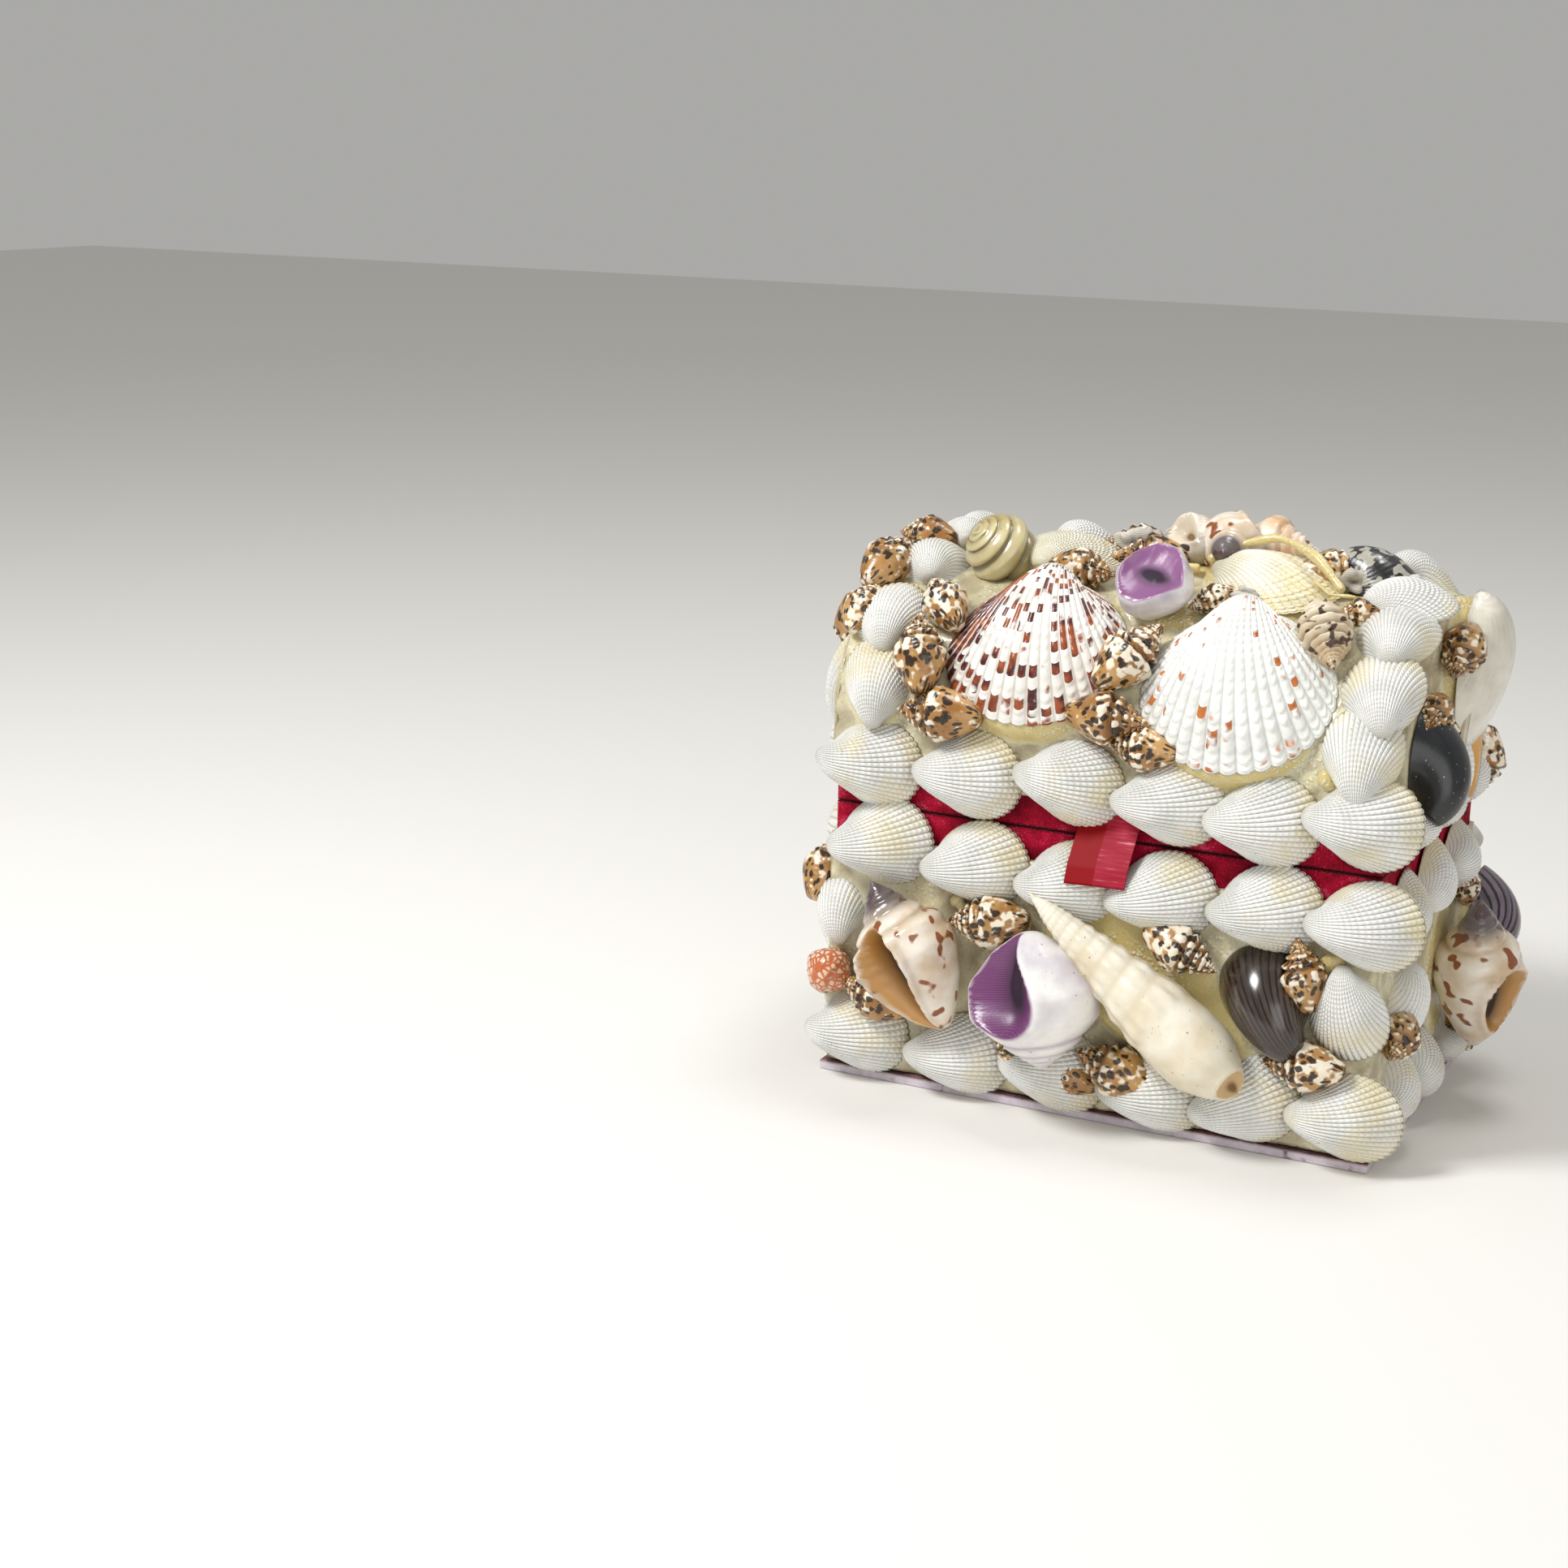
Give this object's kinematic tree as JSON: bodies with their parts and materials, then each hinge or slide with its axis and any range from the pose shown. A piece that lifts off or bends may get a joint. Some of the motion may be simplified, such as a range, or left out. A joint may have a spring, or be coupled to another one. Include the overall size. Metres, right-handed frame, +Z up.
{
  "type": "shell box",
  "caption": "Keepsake box with a domed lift-off lid, crusted all over with white cockles, scallops, snail shells and glue, with a bare red velvet seam and a red ribbon tab",
  "frame": {"origin": "middle of the underside of the bottom board", "axes": "+X along the long front of the box towards its right end, +Y from the front to the back, +Z up"},
  "size_m": [0.196, 0.142, 0.1621],
  "materials": {
    "velvet": "matt, worn pale on the folds",
    "board": "matt, scuffed",
    "ribbon": "satin",
    "glue_and_small_shells": "set glue, half clear, with speckled shells in it",
    "white_shell": "semi-gloss, ribbed",
    "cream_shell": "semi-gloss",
    "purple_shell": "semi-gloss",
    "dark_shell": "gloss"
  },
  "bodies": {
    "root": {"base_back_shells": "glue_and_small_shells", "base_box": "velvet", "base_front_shells": "glue_and_small_shells", "base_left_shells": "glue_and_small_shells", "base_lower_cockle_1": "white_shell", "base_lower_cockle_2": "white_shell", "base_lower_cockle_3": "white_shell", "base_lower_cockle_4": "white_shell", "base_lower_cockle_5": "white_shell", "base_lower_cockle_6": "white_shell", "base_right_conch": "cream_shell", "base_right_nerite": "dark_shell", "base_right_shells": "glue_and_small_shells", "base_side_cockle": "white_shell", "base_upper_cockle_1": "white_shell", "base_upper_cockle_2": "white_shell", "base_upper_cockle_3": "white_shell", "base_upper_cockle_4": "white_shell", "base_upper_cockle_5": "white_shell", "base_upper_cockle_6": "white_shell", "bottom_board": "board", "brown_nerite": "dark_shell", "conch": "cream_shell", "lid": "velvet", "lid_back_scallop_left": "white_shell", "lid_back_scallop_right": "white_shell", "lid_back_shells": "glue_and_small_shells", "lid_black_nerite": "dark_shell", "lid_front_shells": "glue_and_small_shells", "lid_left_cockle_1": "white_shell", "lid_left_cockle_2": "white_shell", "lid_left_cockle_3": "white_shell", "lid_left_cockle_4": "white_shell", "lid_left_nerite": "dark_shell", "lid_left_shells": "glue_and_small_shells", "lid_moon_snail": "purple_shell", "lid_right_cockle_1": "white_shell", "lid_right_cockle_2": "white_shell", "lid_right_cockle_3": "white_shell", "lid_right_cockle_4": "white_shell", "lid_right_mussel": "cream_shell", "lid_right_oyster": "white_shell", "lid_right_shells": "glue_and_small_shells", "lid_rim_cockle_1": "white_shell", "lid_rim_cockle_2": "white_shell", "lid_rim_cockle_3": "white_shell", "lid_rim_cockle_4": "white_shell", "lid_rim_cockle_5": "white_shell", "lid_rim_cockle_6": "white_shell", "lid_spotted_scallop": "white_shell", "lid_white_scallop": "white_shell", "lid_yellow_snail": "cream_shell", "long_cerith": "cream_shell", "purple_mouth_snail": "purple_shell", "ribbon_tab": "ribbon", "top_black_turban": "dark_shell", "top_broken_conch": "cream_shell", "top_grey_whelk": "cream_shell", "top_orange_whelk": "cream_shell"}
  },
  "joints": []
}
